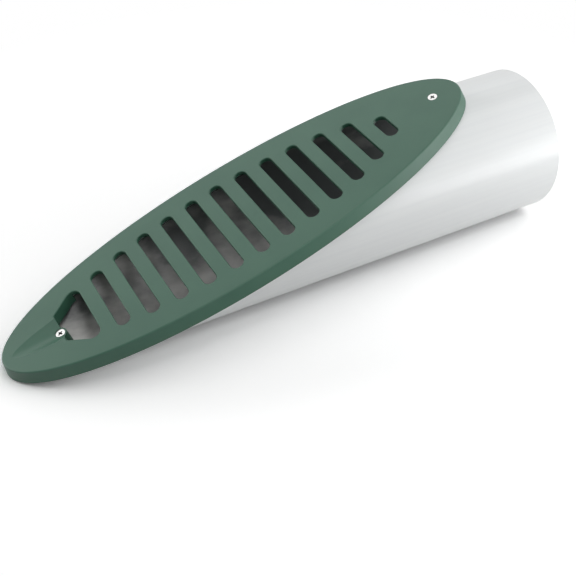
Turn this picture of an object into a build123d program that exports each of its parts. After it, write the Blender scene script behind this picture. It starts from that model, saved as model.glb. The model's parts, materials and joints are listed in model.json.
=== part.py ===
from build123d import *

import os
from math import cos, radians, sin, sqrt, tan

# Drain emitter for the open end of a 4 inch yard drain: a length of plastic pipe cut off at a
# long slant, a moulded grate that covers the slanted cut, and the two screws that hold it on.
#
# Millimetres. The origin is the centre of the pipe's plain end, +X points out of that end,
# and +Z points up. The slanted cut looks up, and its toe is the low end at -X.

# Pipe
pipe_od = 114.3
pipe_wall = 6.02
pipe_length = 434.0             # plain end to the tip of the toe, along the bottom
cut_angle = 17.5                # slant of the cut, in degrees from the pipe's axis
end_bevel = 0.8                 # broken edges of the plain end

# Grate: top plate and skirt
plate_rise = 10.3               # top face above the pipe's cut
plate_wall = 3.2
plate_overhang_ends = 7.5       # plate beyond the pipe's outer edge, at toe and heel
plate_overhang_sides = 4.0
plate_shift = 0.8               # plate's centre towards the heel
skirt_depth = 10.5              # top face to the skirt's lower edge
skirt_wall = 3.0
skirt_flare = 2.2               # lower edge of the skirt outside the top edge
plate_edge_round = 1.2
seat_rib_wall = 2.8             # rib under the plate that stands on the pipe's cut

# Grate: slots across the plate, their ends on an ellipse
slot_width = 10.3
slot_bar = 11.7                 # bar between two slots
slot_margin_sides = 16.7        # that ellipse inside the plate's edge, at the sides
slot_margin_toe = 43.2
slot_margin_heel = 58.8
slot_shortest = 18.0
hole_edge_break = 0.5           # top edges of the slots and the mouth

# Grate: outlet mouth near the toe, and the spill channel that leads out of it
mouth_toe_inset = 39.7          # toe end of the mouth, from the toe of the pipe's cut
mouth_length = 24.6
mouth_toe_width = 28.6
mouth_heel_width = 65.8         # between its sides produced, before the corners are rounded
mouth_corner_round = 6.0
mouth_toe_round = 2.0
mouth_rim_depth = 9.9           # top face to the lower edge of the mouth's rim
mouth_rim_wall = 2.5
channel_tip_inset = 1.1         # where the channel runs out, from the toe of the pipe's cut
channel_depth = 4.6             # at the mouth
channel_width = 23.0            # at the mouth

# Screws and their bosses
screw_head_od = 7.5
screw_od = 3.9
screw_length = 16.0
screw_head_edge = 0.3
screw_point = 3.0
recess_length = 4.4
recess_width = 1.1
recess_depth = 1.7
toe_screw_inset = 37.9          # from the toe of the pipe's cut
heel_screw_inset = 13.6         # from the heel of the pipe's cut
boss_od = 10.0
screw_clearance = 0.1           # hole and countersink outside the screw
boss_clearance = 0.2            # toe boss above the pipe's inner floor
hole_past_tip = 0.4

# Worked out from the sizes above
pipe_r = pipe_od / 2
bore_r = pipe_r - pipe_wall
slant = radians(cut_angle)
cut_half_length = pipe_r / sin(slant)
bore_half_length = bore_r / sin(slant)
cut_plane = Plane(
    origin=(pipe_r / tan(slant) - pipe_length, 0, 0),
    x_dir=(cos(slant), 0, sin(slant)),
    z_dir=(-sin(slant), 0, cos(slant)),
)

# The grate and the screws are drawn in the plane of the cut, x towards the heel and z out of
# it, and are then placed on the pipe.
plate_half_length = cut_half_length + plate_overhang_ends
plate_half_width = pipe_r + plate_overhang_sides
plate_toe = plate_shift - plate_half_length
plate_heel = plate_shift + plate_half_length
plate_under = plate_rise - plate_wall
skirt_low = plate_rise - skirt_depth
mouth_toe = mouth_toe_inset - cut_half_length
mouth_heel = mouth_toe + mouth_length
channel_tip = channel_tip_inset - cut_half_length
toe_screw_x = toe_screw_inset - cut_half_length
heel_screw_x = cut_half_length - heel_screw_inset
toe_screw_z = plate_rise - channel_depth
heel_screw_z = plate_rise


def ellipse_at(height, half_length, half_width, shift=plate_shift):
    """An ellipse parallel to the cut, at a height above it."""
    return Pos(shift, 0, height) * Ellipse(half_length, half_width)


def pipe_on_cut(radius):
    """A long cylinder along the pipe's axis, seen from the plane of the cut."""
    tube = Rot(0, 90, 0) * Cylinder(radius, 4 * pipe_length)
    return cut_plane.to_local_coords(tube)


def plate_and_skirt():
    """The plate with its flared skirt, hollow from below."""
    low_half_length = plate_half_length + skirt_flare
    low_half_width = plate_half_width + skirt_flare
    outside = loft([
        ellipse_at(skirt_low, low_half_length, low_half_width),
        ellipse_at(plate_rise, plate_half_length, plate_half_width),
    ])
    top_edge = outside.edges().sort_by(Axis.Z)[-1]
    outside = fillet(top_edge, plate_edge_round)
    inside = loft([
        ellipse_at(skirt_low, low_half_length - skirt_wall, low_half_width - skirt_wall),
        ellipse_at(plate_under, plate_half_length - skirt_wall, plate_half_width - skirt_wall),
    ])
    return outside - inside


def seat_rib():
    """The rib along the middle of the pipe's cut, from the cut up to the plate."""
    mid_half_length = (cut_half_length + bore_half_length) / 2
    mid_half_width = (pipe_r + bore_r) / 2
    half_wall = seat_rib_wall / 2
    ring = Ellipse(mid_half_length + half_wall, mid_half_width + half_wall)
    ring -= Ellipse(mid_half_length - half_wall, mid_half_width - half_wall)
    return extrude(ring, plate_under)


def slot_stations():
    """Centre and half length of each slot, from the mouth to the heel."""
    field_toe = plate_toe + slot_margin_toe
    field_heel = plate_heel - slot_margin_heel
    field_mid = (field_toe + field_heel) / 2
    field_half_length = (field_heel - field_toe) / 2
    field_half_width = plate_half_width - slot_margin_sides
    stations = []
    x = mouth_heel + slot_bar + slot_width / 2
    while x < field_heel:
        reach = field_half_width * sqrt(1 - ((x - field_mid) / field_half_length) ** 2)
        if 2 * reach > slot_shortest:
            stations.append((x, reach))
        x += slot_bar + slot_width
    return stations


def mouth_outline(grow=0.0):
    """The mouth as seen from above, a four-sided hole with rounded corners."""
    side_slope = (mouth_heel_width - mouth_toe_width) / 2 / mouth_length
    side_grow = grow * sqrt(1 + side_slope ** 2)
    toe_half = mouth_toe_width / 2 + side_grow - grow * side_slope
    heel_half = mouth_heel_width / 2 + side_grow
    outline = Polygon(
        (mouth_toe - grow, -toe_half),
        (mouth_heel, -heel_half),
        (mouth_heel, heel_half),
        (mouth_toe - grow, toe_half),
        align=None,
    )
    corners = outline.vertices().sort_by(Axis.X)
    outline = fillet(corners[2:], mouth_corner_round + grow)
    toe_corners = outline.vertices().sort_by(Axis.X)[:2]
    return fillet(toe_corners, mouth_toe_round + grow)


def channel_body(extra=0.0):
    """The round bar that scoops the channel, its lowest line from the channel's tip to the mouth."""
    run = mouth_toe - channel_tip
    radius = (channel_width ** 2 / 4 + channel_depth ** 2) / (2 * channel_depth)
    tilt = Plane(
        origin=(channel_tip, 0, plate_rise),
        x_dir=(0, 1, 0),
        z_dir=(run, 0, -channel_depth),
    )
    length = sqrt(run ** 2 + channel_depth ** 2)
    bar = Pos(0, radius, 0) * Cylinder(radius + extra, 4 * length)
    return tilt.location * bar


def screw():
    """A countersunk screw with a cross recess, its head's face at z 0 and its point down."""
    shank_r = screw_od / 2
    head_r = screw_head_od / 2
    cone = head_r - shank_r
    profile = Polygon(
        (0, 0),
        (head_r, 0),
        (head_r, -screw_head_edge),
        (shank_r, -screw_head_edge - cone),
        (shank_r, screw_point - screw_length),
        (0, -screw_length),
        align=None,
    )
    body = revolve(Plane.XZ * profile, Axis.Z)
    wing = loft([
        Rectangle(recess_length, recess_width),
        Pos(0, 0, -recess_depth) * Rectangle(recess_length / 3, recess_width / 2),
    ])
    return body - wing - Rot(0, 0, 90) * wing


def screw_hole(past_tip):
    """The room that one screw takes, with its clearance, open above the head."""
    hole_r = screw_od / 2 + screw_clearance
    head_r = screw_head_od / 2 + screw_clearance
    profile = Polygon(
        (0, plate_rise),
        (head_r, plate_rise),
        (head_r, -screw_head_edge),
        (hole_r, -screw_head_edge - (head_r - hole_r)),
        (hole_r, -screw_length - past_tip),
        (0, -screw_length - past_tip),
        align=None,
    )
    return revolve(Plane.XZ * profile, Axis.Z)


def screw_places():
    """Where the face of each head lies: toe, then heel."""
    return [Pos(toe_screw_x, 0, toe_screw_z), Pos(heel_screw_x, 0, heel_screw_z)]


def toe_boss():
    """The post under the toe screw, which stands on the pipe's inner floor."""
    post = Pos(toe_screw_x, 0, toe_screw_z) * Cylinder(
        boss_od / 2, pipe_r, align=(Align.CENTER, Align.CENTER, Align.MAX)
    )
    return post & pipe_on_cut(bore_r - boss_clearance)


def heel_boss():
    """The post under the heel screw, which stands on the pipe's cut."""
    return Pos(heel_screw_x, 0, 0) * Cylinder(
        boss_od / 2, plate_under, align=(Align.CENTER, Align.CENTER, Align.MIN)
    )


def make_grate():
    """The moulded grate."""
    body = plate_and_skirt() + seat_rib() + heel_boss()

    # The channel's own wall under the plate, from its tip to the mouth, and the mouth's rim.
    run = mouth_toe - channel_tip
    under_channel = Pos(channel_tip, 0, 0) * Box(
        run, 2 * channel_width, plate_under, align=(Align.MIN, Align.CENTER, Align.MIN)
    )
    body += channel_body(plate_wall) & under_channel
    body += Pos(0, 0, plate_rise - mouth_rim_depth) * extrude(
        mouth_outline(mouth_rim_wall), mouth_rim_depth - plate_wall
    )

    body -= extrude(mouth_outline(), 2 * plate_rise)
    for x, reach in slot_stations():
        slot = Rot(0, 0, 90) * SlotOverall(2 * reach, slot_width)
        body -= Pos(x, 0, 0) * extrude(slot, 2 * plate_rise)
    top_face = body.faces().sort_by(Axis.Z)[-1]
    hole_edges = [edge for wire in top_face.inner_wires() for edge in wire.edges()]
    body = chamfer(hole_edges, hole_edge_break)

    to_mouth = Pos(channel_tip, 0, 0) * Box(
        run + boss_od, 2 * channel_width, 4 * plate_rise, align=(Align.MIN, Align.CENTER, Align.CENTER)
    )
    body -= channel_body() & to_mouth
    body += toe_boss()
    for place in screw_places():
        body -= place * screw_hole(0)
    return cut_plane.location * body


def make_pipe():
    """The pipe, cut off at a slant and drilled for the two screws."""
    tube = Cylinder(pipe_r, pipe_length) - Cylinder(bore_r, pipe_length)
    rims = tube.edges().group_by(Axis.Z)[-1]
    tube = chamfer(rims, end_bevel)
    tube = Pos(-pipe_length / 2, 0, 0) * Rot(0, 90, 0) * tube
    above_cut = cut_plane.location * Box(
        2 * pipe_length, 2 * pipe_od, 2 * pipe_od, align=(Align.CENTER, Align.CENTER, Align.MIN)
    )
    tube -= above_cut
    for place in screw_places():
        tube -= cut_plane.location * place * screw_hole(hole_past_tip)
    return tube


def make_screws():
    """The two screws, each in its place."""
    return Compound([cut_plane.location * place * screw() for place in screw_places()])


os.makedirs("parts", exist_ok=True)
export_step(make_pipe(), "parts/pipe.step")
export_step(make_grate(), "parts/grate.step")
export_step(make_screws(), "parts/grate_screws.step")
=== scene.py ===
import json
import math

import bpy
import numpy as np
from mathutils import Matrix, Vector

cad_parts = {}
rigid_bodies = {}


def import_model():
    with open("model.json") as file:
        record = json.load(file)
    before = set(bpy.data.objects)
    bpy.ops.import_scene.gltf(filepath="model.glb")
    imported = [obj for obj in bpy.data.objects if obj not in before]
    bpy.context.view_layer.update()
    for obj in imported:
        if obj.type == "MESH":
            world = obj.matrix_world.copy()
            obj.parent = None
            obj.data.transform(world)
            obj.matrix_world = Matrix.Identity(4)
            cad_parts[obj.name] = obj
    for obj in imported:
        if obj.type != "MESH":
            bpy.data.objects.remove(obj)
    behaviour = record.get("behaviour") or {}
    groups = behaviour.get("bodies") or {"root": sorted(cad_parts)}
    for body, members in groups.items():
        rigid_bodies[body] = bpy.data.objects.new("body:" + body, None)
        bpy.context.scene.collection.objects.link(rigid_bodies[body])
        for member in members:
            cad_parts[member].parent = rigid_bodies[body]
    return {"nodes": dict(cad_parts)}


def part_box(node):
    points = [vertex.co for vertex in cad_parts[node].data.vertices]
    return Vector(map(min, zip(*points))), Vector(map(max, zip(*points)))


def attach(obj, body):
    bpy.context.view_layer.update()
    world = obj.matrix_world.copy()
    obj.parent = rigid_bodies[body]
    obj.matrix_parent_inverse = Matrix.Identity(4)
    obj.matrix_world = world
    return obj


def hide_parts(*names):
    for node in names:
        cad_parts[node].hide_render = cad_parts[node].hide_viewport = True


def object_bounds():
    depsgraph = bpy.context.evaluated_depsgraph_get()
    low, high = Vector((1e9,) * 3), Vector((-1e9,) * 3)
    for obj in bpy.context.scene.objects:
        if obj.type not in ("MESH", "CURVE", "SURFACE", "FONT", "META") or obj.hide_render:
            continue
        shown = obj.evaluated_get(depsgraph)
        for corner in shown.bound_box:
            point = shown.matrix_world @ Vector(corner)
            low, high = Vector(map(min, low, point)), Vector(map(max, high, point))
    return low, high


for leftover in list(bpy.data.objects):
    bpy.data.objects.remove(leftover)
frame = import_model()
cad_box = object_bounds()


# The pipe is a length of white PVC drain pipe, sawn off at a long slant. Its wall is glossy, with
# the faint lengthwise lines that the extruder leaves. Inside, its colour is grey and blotchy, as
# painted shade and light with some stain: darker deep in the pipe and up its sides, and painted
# paler towards the toe and along the bottom.
PIPE_OUTSIDE = 0.1143
PIPE_WALL = 0.00602
PVC_WHITE = (0.80, 0.82, 0.82)
PVC_SHADE = (0.775, 0.795, 0.80)
PVC_LINES = 260.0               # drawn lines round the wall, per metre
PVC_LINE_STRETCH = 0.02         # how much slower the lines change along the pipe
PVC_LINE_HEIGHT = 0.00004
# Painted shade and light with some stain: the bore's grey is darkest deep in the pipe and up its
# sides, paler towards the toe.
BORE_SHADE_AND_STAIN_DEEP = [(0.30, (0.120, 0.130, 0.130)), (0.66, (0.58, 0.57, 0.56))]
BORE_SHADE_AND_STAIN_TOE = [(0.26, (0.06, 0.064, 0.064)), (0.62, (0.74, 0.72, 0.70))]
BORE_PATCHES = 34.0            # patches per metre
BORE_PATCH_STRETCH = 0.6             # how much slower the patches change along the pipe
BORE_SHADE_FROM, BORE_SHADE_TO = -0.15, -0.41     # where along the pipe the painted shade turns paler
BORE_SIDE_SHADE = -0.30             # how much darker the painted shade is at the sides than along the bottom
BORE_SIDE_SHADE_FROM = 0.3          # how far out that starts, as a share of the bore
BORE_SHADE_EDGE = (0.0008, 0.0004)   # none of it, and all of it, this far outside the bore


def material(name, base, roughness, ior=1.5, metallic=0.0):
    """A new material with one Principled shader set to these values, and that shader."""
    made = bpy.data.materials.new(name)
    made.use_nodes = True
    shader = made.node_tree.nodes["Principled BSDF"]
    shader.inputs["Base Color"].default_value = (*base, 1)
    shader.inputs["Roughness"].default_value = roughness
    shader.inputs["IOR"].default_value = ior
    shader.inputs["Metallic"].default_value = metallic
    return made, shader


def object_place(made, scale=(1, 1, 1)):
    """The object's own coordinates in metres, each times its scale."""
    nodes, links = made.node_tree.nodes, made.node_tree.links
    place = nodes.new("ShaderNodeTexCoord")
    mapping = nodes.new("ShaderNodeMapping")
    mapping.inputs["Scale"].default_value = scale
    links.new(place.outputs["Object"], mapping.inputs["Vector"])
    return mapping.outputs["Vector"]


def noise(made, place, scale, detail=2.0, rough=0.5):
    """Cloudy noise from 0 to 1 over a place, with scale waves to the metre."""
    nodes, links = made.node_tree.nodes, made.node_tree.links
    cloud = nodes.new("ShaderNodeTexNoise")
    cloud.inputs["Scale"].default_value = scale
    cloud.inputs["Detail"].default_value = detail
    cloud.inputs["Roughness"].default_value = rough
    links.new(place, cloud.inputs["Vector"])
    return cloud.outputs["Fac"]


def ramp(made, value, stops):
    """A colour for each value, blended between stops of (value, colour)."""
    nodes, links = made.node_tree.nodes, made.node_tree.links
    colours = nodes.new("ShaderNodeValToRGB")
    for element, (place, colour) in zip(colours.color_ramp.elements, stops):
        element.position = place
        element.color = (*colour, 1)
    links.new(value, colours.inputs["Fac"])
    return colours.outputs["Color"]


def blend(made, amount, first, second):
    """The first colour where the amount is 0 and the second where it is 1."""
    nodes, links = made.node_tree.nodes, made.node_tree.links
    either = nodes.new("ShaderNodeMix")
    either.data_type = "RGBA"
    links.new(amount, either.inputs["Factor"])
    links.new(first, either.inputs["A"])
    links.new(second, either.inputs["B"])
    return either.outputs["Result"]


def between(made, value, low, high):
    """0 where the value is low, 1 where it is high, straight between and level beyond."""
    nodes, links = made.node_tree.nodes, made.node_tree.links
    span = nodes.new("ShaderNodeMapRange")
    span.inputs["From Min"].default_value = low
    span.inputs["From Max"].default_value = high
    links.new(value, span.inputs["Value"])
    return span.outputs["Result"]


def bump(made, shader, height, distance, strength, under=None):
    """Lets a height pattern tilt the shading, distance metres from its low to its high, on top
    of the normal under it."""
    nodes, links = made.node_tree.nodes, made.node_tree.links
    relief = nodes.new("ShaderNodeBump")
    relief.inputs["Distance"].default_value = distance
    relief.inputs["Strength"].default_value = strength
    links.new(height, relief.inputs["Height"])
    if under is not None:
        links.new(under, relief.inputs["Normal"])
    links.new(relief.outputs["Normal"], shader.inputs["Normal"])


pipe_plastic, shader = material("pipe_plastic", PVC_WHITE, 0.3, ior=1.53)
nodes, links = pipe_plastic.node_tree.nodes, pipe_plastic.node_tree.links
along = object_place(pipe_plastic, scale=(PVC_LINE_STRETCH, 1, 1))
lines = noise(pipe_plastic, along, PVC_LINES, detail=3.0)
tone = ramp(pipe_plastic, lines, [(0.3, PVC_SHADE), (0.6, PVC_WHITE)])
along = object_place(pipe_plastic, scale=(BORE_PATCH_STRETCH, 1, 1))
patches = noise(pipe_plastic, along, BORE_PATCHES, detail=5.0)
parts = nodes.new("ShaderNodeSeparateXYZ")
links.new(object_place(pipe_plastic), parts.inputs[0])
sideways = nodes.new("ShaderNodeMath")
sideways.operation = "ABSOLUTE"
links.new(parts.outputs["Y"], sideways.inputs[0])
bore = PIPE_OUTSIDE / 2 - PIPE_WALL
# Painted shade: the bore's colour darkens up its sides.
darker = nodes.new("ShaderNodeMath")
darker.operation = "MULTIPLY_ADD"
darker.inputs[1].default_value = BORE_SIDE_SHADE
to_side = between(pipe_plastic, sideways.outputs["Value"], BORE_SIDE_SHADE_FROM * bore, bore)
links.new(to_side, darker.inputs[0])
links.new(patches, darker.inputs[2])
patches = darker.outputs["Value"]
# Painted shade and light: the bore's colour turns from the dark deep stops to the paler toe
# stops.
bore_shade_and_stain = blend(
    pipe_plastic, between(pipe_plastic, parts.outputs["X"], BORE_SHADE_FROM, BORE_SHADE_TO),
    ramp(pipe_plastic, patches, BORE_SHADE_AND_STAIN_DEEP), ramp(pipe_plastic, patches, BORE_SHADE_AND_STAIN_TOE),
)
round_axis = nodes.new("ShaderNodeVectorMath")
round_axis.operation = "LENGTH"
links.new(object_place(pipe_plastic, scale=(0, 1, 1)), round_axis.inputs[0])
none_at, all_at = (bore + edge for edge in BORE_SHADE_EDGE)
inside = between(pipe_plastic, round_axis.outputs["Value"], none_at, all_at)
links.new(blend(pipe_plastic, inside, tone, bore_shade_and_stain), shader.inputs["Base Color"])
bump(pipe_plastic, shader, lines, PVC_LINE_HEIGHT, 0.5)

pipe = frame["nodes"]["pipe"]
pipe.data.materials[0] = pipe_plastic


# The grate is one injection moulding in green polypropylene: the plate with its slots, the
# skirt, the mouth with its channel and the two screw posts. The surface is satin, with the fine
# grain of the mould, and its colour is a little cloudy, as regrind plastic is.
GREEN_LIGHT = (0.036, 0.117, 0.074)
GREEN_DARK = (0.027, 0.101, 0.063)
GREEN_CLOUDS = 22.0             # patches per metre
GRAIN = 1800.0                  # waves of the mould's grain, per metre
GRAIN_HEIGHT = 0.00008
EDGE_ROUND = 0.0005             # radius that the shading gives to the moulded edges

grate_plastic, shader = material("grate_plastic", GREEN_LIGHT, 0.40, ior=1.49)
nodes, links = grate_plastic.node_tree.nodes, grate_plastic.node_tree.links
place = object_place(grate_plastic)
cloudy = noise(grate_plastic, place, GREEN_CLOUDS, detail=4.0)
tone = ramp(grate_plastic, cloudy, [(0.35, GREEN_DARK), (0.65, GREEN_LIGHT)])
links.new(tone, shader.inputs["Base Color"])
grain = noise(grate_plastic, place, GRAIN, detail=2.0, rough=0.6)
edges = nodes.new("ShaderNodeBevel")
edges.samples = 6
edges.inputs["Radius"].default_value = EDGE_ROUND
bump(grate_plastic, shader, grain, GRAIN_HEIGHT, 0.35, under=edges.outputs["Normal"])

grate = frame["nodes"]["grate"]
grate.data.materials[0] = grate_plastic


# Two countersunk stainless screws hold the grate on, one in the channel near the toe and one
# at the heel. Each has a pressed cross recess, dark inside with painted shade and grime, a
# painted shade ring round its head's edge, a cone under its head, a rolled thread and a point,
# and each is turned by hand to its own angle.
CUT_ANGLE = math.radians(17.5)
PIPE_R = PIPE_OUTSIDE / 2
PIPE_LENGTH = 0.434
HEAD_R = 0.00375
HEAD_EDGE = 0.0003
HEAD_ROUND = 0.00012            # rounding between the head's face and its edge
SHANK_R = 0.00195
THREAD_DEPTH = 0.00042
THREAD_PITCH = 0.0013
SCREW_LENGTH = 0.016
SCREW_POINT = 0.003
RECESS_REACH = 0.0022           # half the cross's length
RECESS_HALF_WIDTH = 0.00055
RECESS_DEPTH = 0.0017
RECESS_SIDE = 0.0002            # how wide the recess's side walls are
RIM_SHADE = 0.0002              # how wide the painted shade ring at the head's edge is
STEEL = (0.60, 0.60, 0.59)
# colour of the painted shade and grime in the recess and round the head's rim
SHADE_AND_GRIME = (0.10, 0.10, 0.10)
SCRATCHES = 2500.0              # per metre
SCRATCH_HEIGHT = 0.00002
AROUND = 72                     # corners to each ring
FACE_RINGS, BEND_RINGS, SHANK_RINGS = 56, 5, 220
FIRST_RING = 0.00002            # radius of the innermost ring, and its height at the point
NECK_REACH = 0.0004             # plain shank below the head's cone, before its rings begin
THREAD_START = 0.0012           # plain shank below the head's cone, before the thread
THREAD_RUN_OUT = 0.001          # how far the thread takes to reach its full depth
RECESS_SLOPE = 0.55             # share of a wing's length that its floor slopes over
SHADE_AND_GRIME_DEPTH = 0.4               # share of the recess's depth at which the painted shade and grime are full
CUT_HALF_LENGTH = PIPE_R / math.sin(CUT_ANGLE)
PLATE_RISE = 0.0103
CHANNEL_DEPTH = 0.0046
SCREWS = [                      # place along the cut, height of the face above it, turn
    (0.0379 - CUT_HALF_LENGTH, PLATE_RISE - CHANNEL_DEPTH, 0.5),
    (CUT_HALF_LENGTH - 0.0136, PLATE_RISE, 0.2),
]


def smooth_step(value):
    """0 below 0, 1 above 1, and the cubic 3t^2 - 2t^3 between."""
    t = np.clip(value, 0, 1)
    return t * t * (3 - 2 * t)


def on_cut(points):
    """From the plane of the cut (x to the heel, z out of it) to the frame: a turn by the cut's
    angle about Y, and a move to where the cut crosses the pipe's axis."""
    x, y, z = np.moveaxis(points, -1, 0)
    middle = PIPE_R / math.tan(CUT_ANGLE) - PIPE_LENGTH
    c, s = math.cos(CUT_ANGLE), math.sin(CUT_ANGLE)
    return np.stack([middle + x * c - z * s, y, x * s + z * c], -1)


def cross_recess(x, y):
    """Depth of the recess: each wing is deepest at the middle, falls off towards its tip and
    has steep side walls, and the deeper of the two wings counts."""
    def wing(a, b):
        wide = smooth_step((RECESS_HALF_WIDTH - np.abs(b)) / RECESS_SIDE + 0.5)
        far = smooth_step((RECESS_REACH - np.abs(a)) / (RECESS_SLOPE * RECESS_REACH))
        return wide * far
    return RECESS_DEPTH * np.maximum(wing(x, y), wing(y, x))


def screw_rings(turn):
    """Rings round the screw's axis, from the middle of the head down to the point. The radius
    and height follow the profile; the head's face sinks by the recess, and the shank's radius
    swells and shrinks along a helix: one wave to each pitch, carried round once a turn. With
    them comes the painted shade and grime, from 0 to 1: the share of the recess's depth, and 1
    at the rim, where it is painted shade alone."""
    face = np.linspace(FIRST_RING, HEAD_R - HEAD_ROUND, FACE_RINGS)
    bend = np.linspace(0.2, 1.57, BEND_RINGS)
    radius = np.concatenate([face, HEAD_R - HEAD_ROUND * (1 - np.sin(bend))])
    height = np.concatenate([0 * face, -HEAD_ROUND * (1 - np.cos(bend))])
    neck = -HEAD_EDGE - (HEAD_R - SHANK_R)
    shank = np.linspace(neck - NECK_REACH, -SCREW_LENGTH + FIRST_RING, SHANK_RINGS)
    taper = np.clip((shank + SCREW_LENGTH) / SCREW_POINT, 0, 1)
    radius = np.concatenate([radius, [HEAD_R, SHANK_R], SHANK_R * taper])
    height = np.concatenate([height, [-HEAD_EDGE, neck], shank])
    r, z = radius[:, None], np.repeat(height[:, None], AROUND, 1)
    a = np.linspace(0, 2 * math.pi, AROUND, endpoint=False)[None, :]
    wave = np.abs(2 * ((z / THREAD_PITCH - a / (2 * math.pi)) % 1) - 1)
    threaded = smooth_step((neck - THREAD_START - z) / THREAD_RUN_OUT)
    r = r - np.minimum(THREAD_DEPTH, r * 0.5) * smooth_step(1.5 * wave) * threaded
    x, y = r * np.cos(a), r * np.sin(a)
    c, s = math.cos(turn), math.sin(turn)
    sunk = np.where(z > -HEAD_EDGE * 0.5, cross_recess(x * c + y * s, y * c - x * s), 0)
    # Painted shade: a dark ring at the head's edge.
    rim = smooth_step((r - HEAD_R) / RIM_SHADE + 1.1)
    return np.stack([x, y, z - sunk], -1), np.maximum(sunk / RECESS_DEPTH / SHADE_AND_GRIME_DEPTH, rim)


def ring_faces(rings, start):
    """Corner numbers of the quads between neighbouring rings, each ring closed on itself, and
    of the two faces that close the first and the last ring."""
    i, j = np.meshgrid(np.arange(rings - 1), np.arange(AROUND), indexing="ij")
    k = (j + 1) % AROUND
    quads = [i * AROUND + j, (i + 1) * AROUND + j, (i + 1) * AROUND + k, i * AROUND + k]
    quads = start + np.stack(quads, -1).reshape(-1, 4)
    last = start + (rings - 1) * AROUND
    return quads.tolist() + [
        list(range(start, start + AROUND)), list(range(last, last + AROUND))[::-1],
    ]


corners, faces, shade_and_grime_shares = [], [], []
for along_cut, above_cut, turn in SCREWS:
    rings, shade_and_grime_share = screw_rings(turn)
    shade_and_grime_shares.append(shade_and_grime_share.reshape(-1))
    faces += ring_faces(len(rings), sum(len(block) for block in corners))
    corners.append(on_cut(rings + np.array([along_cut, 0, above_cut])).reshape(-1, 3))
mesh = bpy.data.meshes.new("cross_screws")
mesh.from_pydata(np.concatenate(corners).tolist(), [], faces)
mesh.shade_smooth()
cross_screws = bpy.data.objects.new("cross_screws", mesh)
bpy.context.scene.collection.objects.link(cross_screws)

shade_and_grime = mesh.attributes.new("shade_and_grime", "FLOAT", "POINT")
shade_and_grime.data.foreach_set("value", np.concatenate(shade_and_grime_shares))
screw_steel, shader = material("screw_steel", STEEL, 0.3, metallic=1.0)
nodes, links = screw_steel.node_tree.nodes, screw_steel.node_tree.links
held = nodes.new("ShaderNodeAttribute")
held.attribute_name = shade_and_grime.name
# Painted shade and grime: the steel turns dark in the recess and round the head's rim.
tone = ramp(screw_steel, held.outputs["Fac"], [(0.05, STEEL), (0.6, SHADE_AND_GRIME)])
links.new(tone, shader.inputs["Base Color"])
scratches = noise(screw_steel, object_place(screw_steel), SCRATCHES, detail=3.0)
bump(screw_steel, shader, scratches, SCRATCH_HEIGHT, 0.4)
mesh.materials.append(screw_steel)
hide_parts("grate_screws")
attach(cross_screws, "root")


# A plain white sweep under the object. It touches the toe's rim and the bottom of the plain
# end, as the object rests on both. Seen from the camera, it carries a painted shadow, darkest
# close to the object, and it turns to even white away from it.
FLOOR_REACH = 6.0
FLOOR_BOUNCE = (0.45, 0.45, 0.45)
# Painted shadow: the floor's colour seen from the camera, from dark where the object is close to
# white.
FLOOR_SEEN = [(0.25, (0.80, 0.80, 0.80)), (0.85, (1.38, 1.38, 1.38))]
PAINTED_SHADOW_REACH = 0.011          # how far from the object the painted shadow reaches
WHITE_FROM, WHITE_TO = 0.30, 0.50       # distances from the object's middle
toe_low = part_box("grate")[0]
end_low = -PIPE_R
floor_slope = (end_low - toe_low.z) / (0.0 - toe_low.x)


def seen_directly(made):
    """1 for rays that come from the camera, or from it by way of gloss or glass, and 0 for the
    rays that carry light from one matt face to another."""
    nodes, links = made.node_tree.nodes, made.node_tree.links
    path = nodes.new("ShaderNodeLightPath")
    total = path.outputs["Is Camera Ray"]
    for kind in ("Is Glossy Ray", "Is Transmission Ray"):
        either = nodes.new("ShaderNodeMath")
        either.operation = "MAXIMUM"
        links.new(total, either.inputs[0])
        links.new(path.outputs[kind], either.inputs[1])
        total = either.outputs["Value"]
    return total


floor_corners = [
    (x, y, end_low + floor_slope * x)
    for x, y in ((-FLOOR_REACH, -FLOOR_REACH), (FLOOR_REACH, -FLOOR_REACH),
                 (FLOOR_REACH, FLOOR_REACH), (-FLOOR_REACH, FLOOR_REACH))
]
mesh = bpy.data.meshes.new("floor")
mesh.from_pydata(floor_corners, [], [(0, 1, 2, 3)])
floor = bpy.data.objects.new("floor", mesh)
bpy.context.scene.collection.objects.link(floor)
floor_white, shader = material("floor_white", FLOOR_BOUNCE, 0.9)
nodes, links = floor_white.node_tree.nodes, floor_white.node_tree.links
nodes.remove(shader)
plain = nodes.new("ShaderNodeBsdfDiffuse")
plain.inputs["Color"].default_value = (*FLOOR_BOUNCE, 1)
# Painted shadow: how open the floor is within that reach sets the colour seen from the camera.
open_share = nodes.new("ShaderNodeAmbientOcclusion")
open_share.inputs["Distance"].default_value = PAINTED_SHADOW_REACH
shadowed = nodes.new("ShaderNodeBsdfDiffuse")
links.new(ramp(floor_white, open_share.outputs["AO"], FLOOR_SEEN), shadowed.inputs["Color"])
white = nodes.new("ShaderNodeEmission")
away = nodes.new("ShaderNodeVectorMath")
away.operation = "DISTANCE"
away.inputs[1].default_value = (cad_box[0][0] / 2, 0, end_low)
links.new(object_place(floor_white), away.inputs[0])
seen = nodes.new("ShaderNodeMixShader")
links.new(between(floor_white, away.outputs["Value"], WHITE_FROM, WHITE_TO), seen.inputs["Fac"])
links.new(shadowed.outputs["BSDF"], seen.inputs[1])
links.new(white.outputs["Emission"], seen.inputs[2])
either = nodes.new("ShaderNodeMixShader")
links.new(seen_directly(floor_white), either.inputs["Fac"])
links.new(plain.outputs["BSDF"], either.inputs[1])
links.new(seen.outputs["Shader"], either.inputs[2])
links.new(either.outputs["Shader"], nodes["Material Output"].inputs["Surface"])
mesh.materials.append(floor_white)


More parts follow.
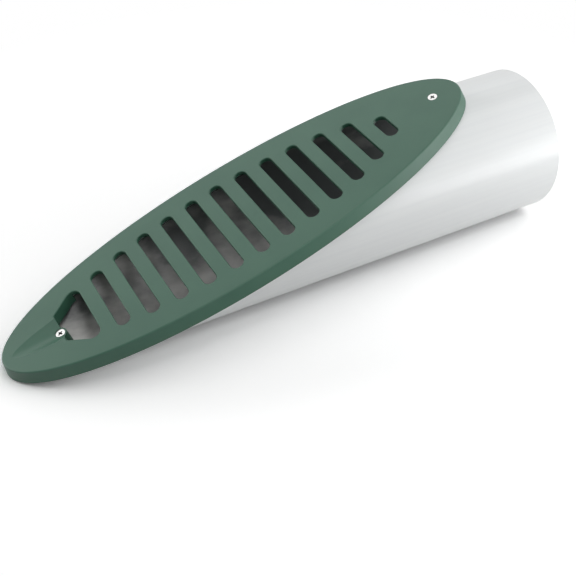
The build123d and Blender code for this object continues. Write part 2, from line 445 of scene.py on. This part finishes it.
# The room and the lamps. Large soft lamps stand overhead, over the front and round the back, and
# three small low ones off the plain end make the pipe and the skirt grow brighter towards it.
# The pale room fills the shadows a little.
ROOM_STRENGTH = 0.03
LAMPS = [                       # name, place, aim, width, height, watts
    ("overhead", (-0.20, 0.0, 2.40), (-0.20, 0.0, 0.0), 2.4, 2.4, 18.0),
    ("over_the_front", (-0.20, -1.60, 2.00), (-0.20, 0.0, 0.0), 2.0, 2.0, 12.0),
    ("low_in_front", (-0.20, -1.60, 0.40), (-0.20, 0.0, 0.0), 1.2, 0.5, 1.8),
    ("over_the_plain_end", (1.40, -0.20, 1.40), (-0.20, 0.0, 0.0), 1.2, 1.2, 7.0),
    ("in_front_of_the_plain_end", (1.20, -1.20, 0.80), (-0.20, 0.0, 0.0), 1.2, 1.2, 5.1),
    ("behind", (-0.20, 1.90, 1.30), (-0.20, 0.0, 0.0), 2.0, 1.2, 7.5),
    ("behind_the_heel", (1.20, 1.40, 1.20), (-0.20, 0.0, 0.0), 1.2, 1.2, 4.0),
    ("behind_the_toe", (-1.80, 1.40, 0.80), (-0.20, 0.0, 0.0), 1.2, 1.2, 15.4),
    ("off_the_end", (0.60, -0.20, 0.10), (-0.15, 0.0, 0.01), 0.3, 0.25, 0.5),
    ("off_the_end_in_front", (0.45, -0.36, 0.09), (-0.15, 0.0, 0.01), 0.3, 0.25, 0.8),
    ("beside_the_end", (0.20, -0.40, 0.02), (-0.15, 0.0, 0.01), 0.3, 0.15, 0.6),
]
world = bpy.data.worlds.new("room")
bpy.context.scene.world = world
world.use_nodes = True
nodes, links = world.node_tree.nodes, world.node_tree.links
dim = nodes["Background"]
dim.inputs["Color"].default_value = (1, 1, 1, 1)
dim.inputs["Strength"].default_value = ROOM_STRENGTH
bright = nodes.new("ShaderNodeBackground")
bright.inputs["Color"].default_value = (1, 1, 1, 1)
bright.inputs["Strength"].default_value = 1.0
either = nodes.new("ShaderNodeMixShader")
links.new(seen_directly(world), either.inputs["Fac"])
links.new(dim.outputs["Background"], either.inputs[1])
links.new(bright.outputs["Background"], either.inputs[2])
links.new(either.outputs["Shader"], nodes["World Output"].inputs["Surface"])

for name, spot, aim, width, height, watts in LAMPS:
    light = bpy.data.lights.new(name, "AREA")
    light.shape = "RECTANGLE"
    light.size, light.size_y = width, height
    light.energy = watts
    lamp = bpy.data.objects.new(name, light)
    lamp.location = spot
    lamp.rotation_euler = (Vector(aim) - Vector(spot)).to_track_quat("-Z", "Y").to_euler()
    bpy.context.scene.collection.objects.link(lamp)


# The camera stands in front of the toe and looks down along the pipe, as in the photograph.
CAMERA_PLACE = Vector((-0.49867, -0.54064, 0.44584))
CAMERA_AIM = Vector((-0.25548, -0.07793, 0.0))
CAMERA_ROLL = math.radians(-1.036)
CAMERA_LENS, CAMERA_SENSOR = 62.33, 36.0      # millimetres
lens = bpy.data.cameras.new("camera")
lens.lens = CAMERA_LENS
lens.sensor_width = CAMERA_SENSOR
camera = bpy.data.objects.new("camera", lens)
camera.location = CAMERA_PLACE
camera.rotation_euler = (CAMERA_AIM - CAMERA_PLACE).to_track_quat("-Z", "Y").to_euler()
camera.rotation_euler.rotate_axis("Z", CAMERA_ROLL)
bpy.context.scene.collection.objects.link(camera)
bpy.context.scene.camera = camera
bpy.context.scene.view_settings.view_transform = "Standard"
